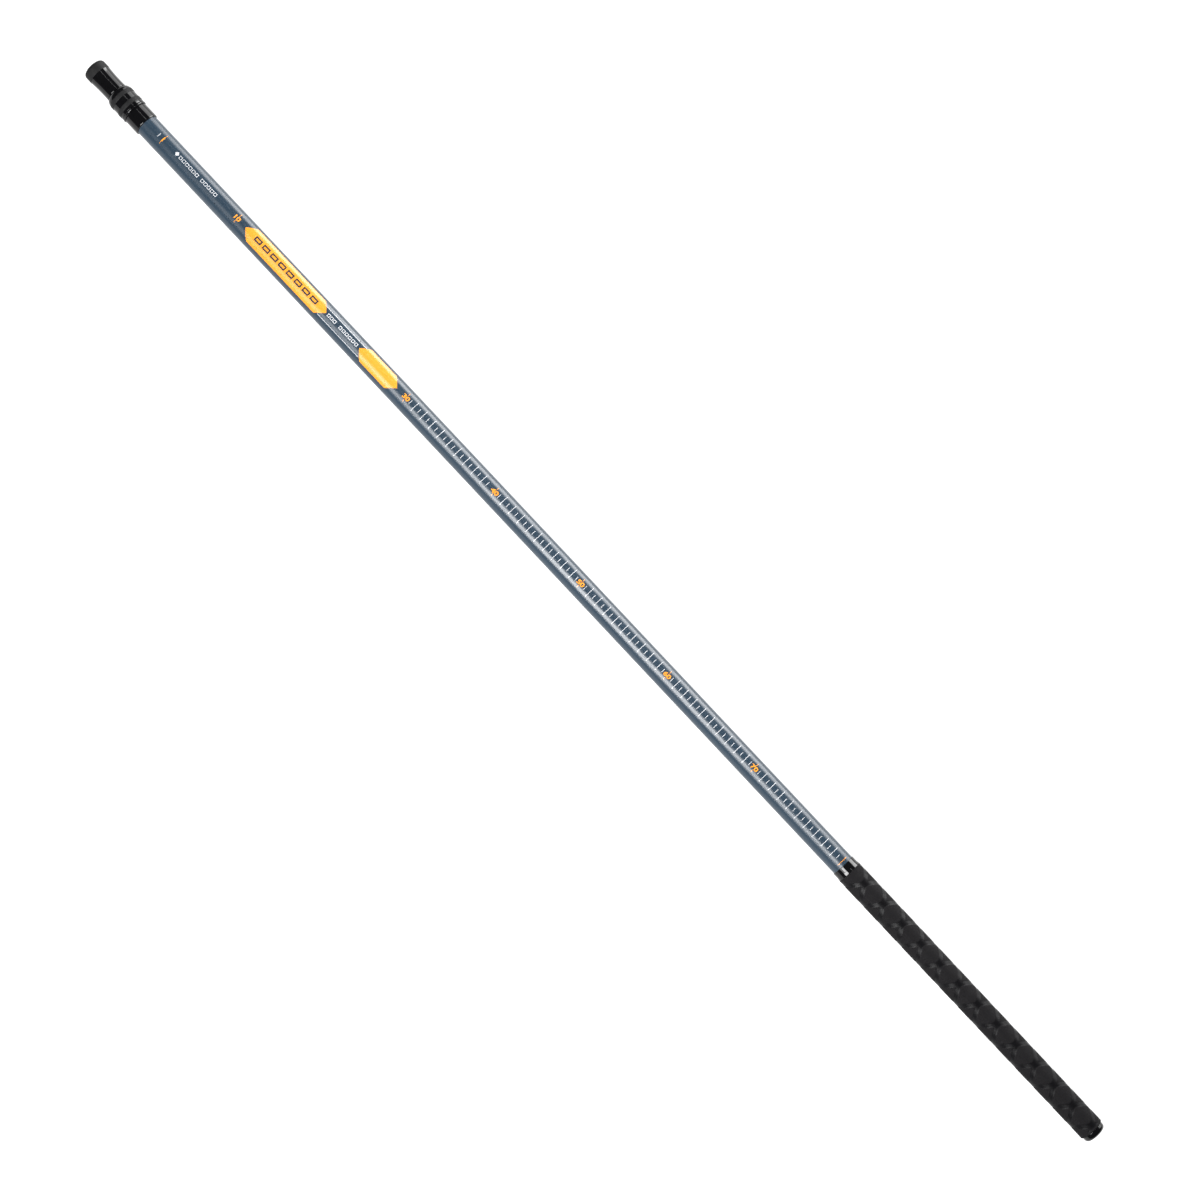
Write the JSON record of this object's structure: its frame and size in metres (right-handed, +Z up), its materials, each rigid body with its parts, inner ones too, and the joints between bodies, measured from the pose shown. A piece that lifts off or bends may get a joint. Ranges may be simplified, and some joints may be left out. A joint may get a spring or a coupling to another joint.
{
  "type": "telescopic landing net handle",
  "caption": "Collapsed telescopic landing net handle: sliding round sections, socketed end fitting with grip collar, printed centimetre scale, rubber grip and screw cap.",
  "frame": {"origin": "under the middle of the collapsed handle, on the plane it rests on", "axes": "+X from the net socket to the butt along the tubes, +Z up through the printed scale"},
  "size_m": [1.167, 0.0228, 0.0228],
  "materials": {
    "tube_blue": "satin lacquer over resin composite",
    "gloss_black": "gloss",
    "matte_rubber": "matte",
    "grip_rubber": "matte, embossed crosses",
    "inner_grey": "satin resin composite",
    "bush_nylon": "matte",
    "brass": "machined"
  },
  "bodies": {
    "outer": {"outer_tube": "tube_blue", "mouth_sleeve": "gloss_black", "outer_mouth_bush": "bush_nylon", "grip_collar": "gloss_black", "grip_sleeve": "grip_rubber", "butt_insert": "gloss_black"},
    "cap": {"butt_cap": "gloss_black", "cap_seal": "matte_rubber", "cap_pad": "matte_rubber"},
    "middle": {"middle_tube": "inner_grey", "middle_collar": "gloss_black", "collar_ring_front": "matte_rubber", "collar_ring_rear": "matte_rubber", "buffer_ring": "gloss_black", "middle_mouth_bush": "bush_nylon", "middle_guide_bush": "bush_nylon"},
    "tip": {"tip_tube": "inner_grey", "tip_guide_bush": "bush_nylon", "tip_ferrule": "gloss_black", "tip_end_band": "matte_rubber", "threaded_insert": "brass"}
  },
  "joints": [
    {"name": "middle_slide", "type": "slide", "parent": "outer", "child": "middle", "axis": [-1, 0, 0], "range_m": [0, 0.9165]},
    {"name": "tip_slide", "type": "slide", "parent": "middle", "child": "tip", "axis": [-1, 0, 0], "range_m": [0, 0.9165]},
    {"name": "cap_unscrew", "type": "slide", "parent": "outer", "child": "cap", "axis": [1, 0, 0], "range_m": [0, 0.03]}
  ]
}
